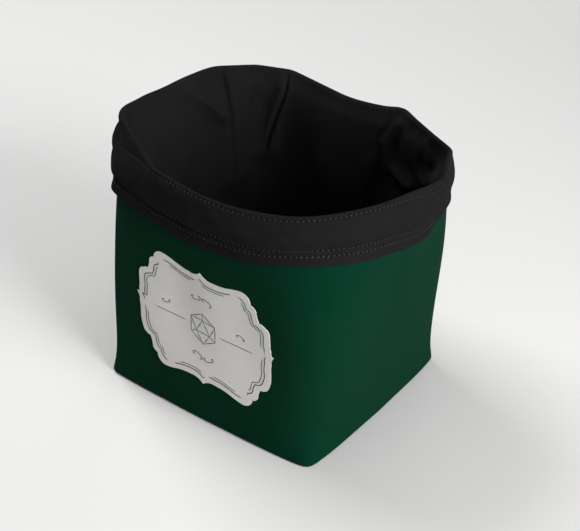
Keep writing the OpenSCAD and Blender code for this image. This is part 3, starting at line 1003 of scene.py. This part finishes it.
def make_exit():
    """The cord's bend from the channel into the top of the tails, out of sight behind the cuff.

    It ends inside the tails.
    """
    parts = []
    for side in (-1, 1):
        start, ahead = (channel_point(TAIL_TURN - side * turn) for turn in (BEND_START, BEND_START - 1.8))
        tail = np.array([side * TAIL_X, TAIL_Y, start[2] - 9])
        curve = bezier([start, start + (ahead - start) * 1.4, tail + [0, 0, 6], tail], 24)
        down = np.stack([tail + [0, 0, -d] for d in spaced(0, tail[2] - BEND_END, 0.4)[1:]])
        parts.append(tube(np.vstack([curve, down]), CORD_R - 0.2, sides=24, relief=braid))
    obj = join("cord_exit_bends", parts)
    dress(obj, "cord")
    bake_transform(obj)


def make_knot():
    """The tails' overhand knot, tied in the doubled cord: two turns round the tails and a tuck across."""
    low, high = node_box("cord_end_knot")
    t = np.linspace(0, 1, 150)
    angle = 2 * np.pi * (1.45 * t + 0.1)
    tuck = 0.82 + 0.18 * np.sin(np.pi * t)
    parts = []
    for lane in (0, 1):
        wide, deep = 4.1 + 0.25 * lane, 3.1 + 0.2 * lane
        slope = (t - 0.5) * 5.2 + (lane - 0.5) * 2.1
        path = np.stack([wide * tuck * np.cos(angle), deep * tuck * np.sin(angle), slope], 1)
        parts.append(tube(path + (low + high) / 2, CORD_R, sides=20, relief=braid))
    finish_piece(join("cord_knot_turns", parts), "cord_end_knot", "cord", body="cord_tails")


def make_spring():
    """The lock's coil, with a flat turn at each end."""
    low, high = node_box("cord_lock_spring")
    wire, turns, flat = 0.22, 4.25, 0.08
    middle, coil = (low + high) / 2, (high[2] - low[2]) / 2 - wire
    t = np.linspace(0, 1, 340)
    angle = 2 * np.pi * turns * t
    x = low[0] + wire + (high[0] - low[0] - 2 * wire) * np.clip((t - flat) / (1 - 2 * flat), 0, 1)
    path = np.stack([x, middle[1] + coil * np.cos(angle), middle[2] + coil * np.sin(angle)], 1)
    obj = join("cord_lock_coil", [tube(path, wire, sides=10)])
    finish_piece(obj, "cord_lock_spring", "steel", body="cord_lock")
    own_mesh(obj)


def make_lock():
    """The lock's two mouldings are the CAD's own, with softened edges."""
    for node in ("cord_lock_barrel", "cord_lock_plunger"):
        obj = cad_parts[node]
        dress(obj, "plastic")
        soften = obj.modifiers.new("soft_edges", "BEVEL")
        soften.width = 0.25 * MM
        soften.segments = 3
        soften.limit_method = "ANGLE"
        soften.angle_limit = math.radians(35)


# -------- materials

class Nodes:
    """A short way to write the node tree of a material or of the world."""

    def __init__(self, name, kind="materials"):
        self.owner = getattr(bpy.data, kind).new(name)
        self.owner.use_nodes = True
        self.tree = self.owner.node_tree

    def feed(self, node, inputs):
        """Sets a node's inputs to values, or links them to sockets or to other nodes' first outputs."""
        for key, value in inputs.items():
            if hasattr(value, "outputs"):
                value = value.outputs[0]
            if isinstance(value, bpy.types.NodeSocket):
                self.tree.links.new(value, node.inputs[key])
            else:
                node.inputs[key].default_value = value
        return node

    def add(self, kind, inputs, **settings):
        node = self.tree.nodes.new(kind)
        for key, value in settings.items():
            setattr(node, key, value)
        return self.feed(node, inputs)

    def math(self, operation, a, b=0.0):
        return self.add("ShaderNodeMath", {0: a, 1: b}, operation=operation)

    def times(self, a, b):
        return self.math("MULTIPLY", a, b)

    def noise(self, scale, detail=3.0, roughness=0.5, vector=None):
        """Noise fixed to the piece, or along other coordinates."""
        if vector is None:
            vector = self.add("ShaderNodeTexCoord", {}).outputs["Object"]
        inputs = {"Vector": vector, "Scale": scale, "Detail": detail, "Roughness": roughness}
        return self.add("ShaderNodeTexNoise", inputs).outputs["Fac"]

    def mix(self, factor, a, b):
        return self.add("ShaderNodeMix", {0: factor, 6: a, 7: b}, data_type="RGBA").outputs[2]

    def spread(self, value, low, high):
        """Maps 0..1 onto low..high."""
        return self.add("ShaderNodeMapRange", {"Value": value, "To Min": low, "To Max": high})

    def rise(self, value, low, high, **settings):
        """Maps low..high onto 0..1."""
        return self.add("ShaderNodeMapRange", {"Value": value, "From Min": low, "From Max": high}, **settings)

    def bump(self, height, distance, strength, under=None):
        """Relief of the surface, over an earlier one if there is one."""
        inputs = {"Height": height, "Distance": distance, "Strength": strength}
        return self.add("ShaderNodeBump", inputs if under is None else {**inputs, "Normal": under})

    def surface(self, colour, roughness, normal=None, more=None):
        """Finishes a material with its colour, roughness, relief and whatever else its shader needs."""
        inputs = {"Base Color": colour, "Roughness": roughness, **(more or {})}
        if normal is not None:
            inputs["Normal"] = normal
        self.feed(self.tree.nodes["Principled BSDF"], inputs)
        return self.owner

    def backdrop(self, output, share, usual, shown):
        """Lets the camera see the other shader in place of the usual one, so that it never lights the bag."""
        seen = self.add("ShaderNodeLightPath", {}).outputs["Is Camera Ray"]
        both = self.add("ShaderNodeMixShader", {0: self.times(share, seen), 1: usual, 2: shown})
        self.feed(self.tree.nodes[output], {"Surface": both})


def rgb(red, green, blue):
    return (red, green, blue, 1.0)


def grey(value):
    return rgb(value, value, value)


def weave_height(n, pitch):
    """Height of a plain weave in the cloth's own coordinates, and the coordinates."""
    uv = n.add("ShaderNodeUVMap", {}, uv_map="cloth").outputs[0]
    parts = n.add("ShaderNodeSeparateXYZ", {0: uv})
    u, v = (n.times(parts.outputs[k], 1 / pitch) for k in (0, 1))

    def strand(across, along):
        body = n.math("ABSOLUTE", n.math("SINE", n.times(across, math.pi)))
        shift = n.times(n.math("FLOOR", across), math.pi)
        over = n.math("COSINE", n.math("ADD", n.times(along, math.pi), shift))
        return body, n.times(over, 0.5)

    warp, warp_over = strand(u, v)
    weft, weft_over = strand(v, u)
    first = n.times(warp, n.math("ADD", warp_over, 0.5))
    second = n.times(weft, n.math("SUBTRACT", 0.5, weft_over))
    return n.math("MAXIMUM", first, second), uv


def cloth_material(name, deep, light, pitch, sheen, lint):
    """Woven cotton: threads with their own tone, slow fading, lint and a soft sheen at glancing angles."""
    n = Nodes(name)
    height, uv = weave_height(n, pitch)
    slub = n.noise(1400.0, 2.0, vector=n.add("ShaderNodeMapping", {"Vector": uv, "Scale": (1.0, 0.03, 1.0)}))
    fade = n.noise(22.0, 4.0, 0.55)
    tone = n.math("ADD", n.times(slub, 0.45), n.times(fade, 0.55))
    top_lit = n.mix(n.spread(height, 0.0, 0.35), n.mix(tone, deep, light), light)
    fluff = n.rise(n.noise(900.0, 2.0), 0.66, 0.8)
    colour = n.mix(n.times(fluff, lint), top_lit, grey(0.08))
    wrinkle = n.bump(n.noise(75.0, 5.0, 0.6), 0.5 * MM, 0.5)
    return n.surface(colour, n.spread(fade, 0.82, 0.97), n.bump(height, 0.12 * MM, 0.8, wrinkle),
                     {"Specular IOR Level": 0.01, "Sheen Weight": sheen, "Sheen Roughness": 0.45,
                      "Sheen Tint": grey(0.8)})


def thread_material(name, colour, bright):
    """Twisted thread with a slight shine."""
    n = Nodes(name)
    twist = n.noise(2600.0, 2.0)
    return n.surface(n.mix(twist, colour, bright), n.spread(twist, 0.45, 0.7), n.bump(twist, 0.06 * MM, 0.7),
                     {"Specular IOR Level": 0.2, "Sheen Weight": 0.05})


def hole_shade_material():
    """Painted shade for the unlit inside of a needle hole: near black, with no shine."""
    n = Nodes("needle_hole_shade")
    return n.surface(n.mix(n.noise(900.0, 1.0), grey(0.0003), grey(0.0012)), 1.0,
                     more={"Specular IOR Level": 0.0})


def felt_material():
    """Stiff non-woven interlining."""
    n = Nodes("interlining_felt")
    fibres = n.noise(700.0, 6.0, 0.7)
    return n.surface(n.mix(fibres, grey(0.10), rgb(0.22, 0.22, 0.21)), n.spread(fibres, 0.85, 1.0),
                     n.bump(fibres, 0.2 * MM, 0.8))


def label_material():
    """Pale bonded patch: a fine grain, faint yellowing and scuffs."""
    n = Nodes("label_vinyl")
    grain = n.noise(1500.0, 2.0)
    stained = n.mix(n.noise(35.0, 4.0, 0.6), rgb(0.58, 0.57, 0.555), rgb(0.67, 0.66, 0.645))
    scuff = n.rise(n.noise(160.0, 6.0, 0.7), 0.6, 0.75)
    scuffed = n.mix(n.times(scuff, 0.35), stained, rgb(0.50, 0.49, 0.48))
    colour = n.mix(n.spread(grain, 0.0, 0.12), scuffed, rgb(0.47, 0.46, 0.45))
    return n.surface(colour, n.spread(grain, 0.5, 0.7), n.bump(grain, 0.05 * MM, 0.5))


def ink_material():
    """Printed line, thin in places."""
    n = Nodes("label_print_ink")
    wear = n.noise(420.0, 4.0, 0.7)
    colour = n.mix(n.spread(wear, 0.0, 0.5), rgb(0.012, 0.012, 0.014), grey(0.12))
    return n.surface(colour, n.spread(wear, 0.5, 0.75), n.bump(wear, 0.02 * MM, 0.4))


def cord_material():
    """Braided polyester cord."""
    n = Nodes("braided_cord")
    strand = n.noise(1800.0)
    tone = n.times(strand, n.spread(n.noise(60.0), 0.6, 1.2))
    return n.surface(n.mix(tone, rgb(0.008, 0.008, 0.009), rgb(0.045, 0.045, 0.048)),
                     n.spread(strand, 0.45, 0.75), n.bump(strand, 0.08 * MM, 0.7), {"Sheen Weight": 0.25})


def plastic_material():
    """Moulded black plastic: a fine spark texture, rubbed brighter where it is handled."""
    n = Nodes("moulded_plastic")
    handled = n.noise(140.0, 5.0, 0.6)
    return n.surface(n.mix(handled, rgb(0.010, 0.010, 0.011), rgb(0.022, 0.022, 0.024)),
                     n.spread(handled, 0.28, 0.52), n.bump(n.noise(1900.0, 2.0), 0.04 * MM, 0.5))


def steel_material():
    """Drawn spring wire."""
    n = Nodes("spring_wire")
    drawn = n.noise(900.0)
    return n.surface(n.mix(drawn, rgb(0.45, 0.45, 0.46), rgb(0.62, 0.62, 0.63)), n.spread(drawn, 0.22, 0.4),
                     more={"Metallic": 1.0})


MATERIALS = {
    "outer": cloth_material("green_cotton", rgb(0.0003, 0.0175, 0.0080), rgb(0.0016, 0.0264, 0.0138),
                            0.42 * MM, 0.02, 0.01),
    "lining": cloth_material("black_cotton", rgb(0.0055, 0.0055, 0.0056), rgb(0.0125, 0.0124, 0.0126),
                             0.46 * MM, 0.002, 0.05),
    # Near-black tubes in the needle holes: painted shade
    "hole": hole_shade_material(),
    "black_thread": thread_material("seam_thread_black", grey(0.006), grey(0.014)),
    "grey_thread": thread_material("cuff_thread_grey", rgb(0.018, 0.018, 0.019), rgb(0.048, 0.048, 0.050)),
    "green_thread": thread_material("seam_thread_green", rgb(0.005, 0.022, 0.014), rgb(0.012, 0.048, 0.032)),
    "felt": felt_material(),
    "label": label_material(),
    "ink": ink_material(),
    "cord": cord_material(),
    "plastic": plastic_material(),
    "steel": steel_material()}


def dress(obj, material):
    obj.data.materials.clear()
    obj.data.materials.append(MATERIALS[material])


def finish_piece(obj, node, material, body="bag"):
    """Gives a piece its material and its place in the frame, and hides the CAD node that it stands for."""
    dress(obj, material)
    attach(obj, body)
    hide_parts(node)


# -------- floor, light, camera

FLOOR_HALF = 6000
# Distances in metres between which the floor fades into the backdrop, as the camera sees it
FLOOR_NEAR, FLOOR_FAR = 0.72, 1.45
BACKDROP = rgb(0.72, 0.715, 0.71)

# Lights: direction in degrees from the front, height in degrees, distance and size in metres, power in watts
LIGHTS = {
    "key": (77, 22, 1.3, 0.7, 27.0), "top": (40, 78, 1.4, 0.8, 4.0), "fill": (-35, 30, 1.6, 1.2, 0.2),
    "back": (-95, 50, 1.5, 0.8, 21.0), "rear": (192, 14, 1.6, 1.0, 7.0)}
# The camera: direction, height, distance and roll, the level that it looks at, its lens and its shift
CAMERA_TURN, CAMERA_LIFT, CAMERA_DISTANCE, CAMERA_ROLL = 31.8, 29.95, 731.0, 5.5
AIM_LEVEL = 80.5
LENS, SHIFT = 74.3, (0.0048, -0.0148)


def make_floor():
    corners = [(x * FLOOR_HALF, y * FLOOR_HALF, 0) for x, y in ((-1, -1), (1, -1), (1, 1), (-1, 1))]
    floor = make_object("floor", corners, [(0, 1, 2, 3)])
    n = Nodes("pale_floor")
    floor.data.materials.append(n.surface(rgb(0.58, 0.575, 0.57), 0.9))
    place_on_floor = n.add("ShaderNodeNewGeometry", {}).outputs["Position"]
    away = n.add("ShaderNodeVectorMath", {0: place_on_floor}, operation="LENGTH").outputs["Value"]
    far = n.rise(away, FLOOR_NEAR, FLOOR_FAR, interpolation_type="SMOOTHSTEP")
    glow = n.add("ShaderNodeEmission", {"Color": BACKDROP})
    n.backdrop("Material Output", far, n.tree.nodes["Principled BSDF"], glow)


def stand(name, data, turn, lift, distance, level):
    """Stands a light or the camera round the bag, looking at a level of its middle axis."""
    a, e = math.radians(turn), math.radians(lift)
    way = Vector((math.sin(a) * math.cos(e), -math.cos(a) * math.cos(e), math.sin(e)))
    obj = put(name, data)
    obj.location = Vector((0, 0, level * MM)) + way * distance
    obj.rotation_mode = "QUATERNION"
    obj.rotation_quaternion = way.to_track_quat("Z", "Y")
    return obj


def make_light():
    n = Nodes("studio", "worlds")
    glow = n.feed(n.tree.nodes["Background"], {"Color": rgb(0.9, 0.9, 0.92), "Strength": 0.07})
    n.backdrop("World Output", 1.0, glow, n.add("ShaderNodeBackground", {"Color": BACKDROP}))
    bpy.context.scene.world = n.owner
    for name, (turn, lift, distance, size, power) in LIGHTS.items():
        lamp = bpy.data.lights.new(name, "AREA")
        lamp.size = size
        lamp.energy = power
        stand(name, lamp, turn, lift, distance, RIM / 2)
    bpy.context.scene.view_settings.view_transform = "Standard"


def make_camera():
    lens = bpy.data.cameras.new("camera")
    lens.lens = LENS
    lens.shift_x, lens.shift_y = SHIFT
    camera = stand("camera", lens, CAMERA_TURN, CAMERA_LIFT, CAMERA_DISTANCE * MM, AIM_LEVEL)
    camera.rotation_quaternion @= Quaternion((0, 0, 1), math.radians(CAMERA_ROLL))
    bpy.context.scene.camera = camera


# -------- the whole bag

make_lining()
make_outer()
make_interfacing()
make_panels()
make_stitching()
make_label()
make_print()
make_channel_cord()
make_tails()
make_exit()
make_knot()
make_spring()
make_lock()
make_floor()
make_light()
make_camera()
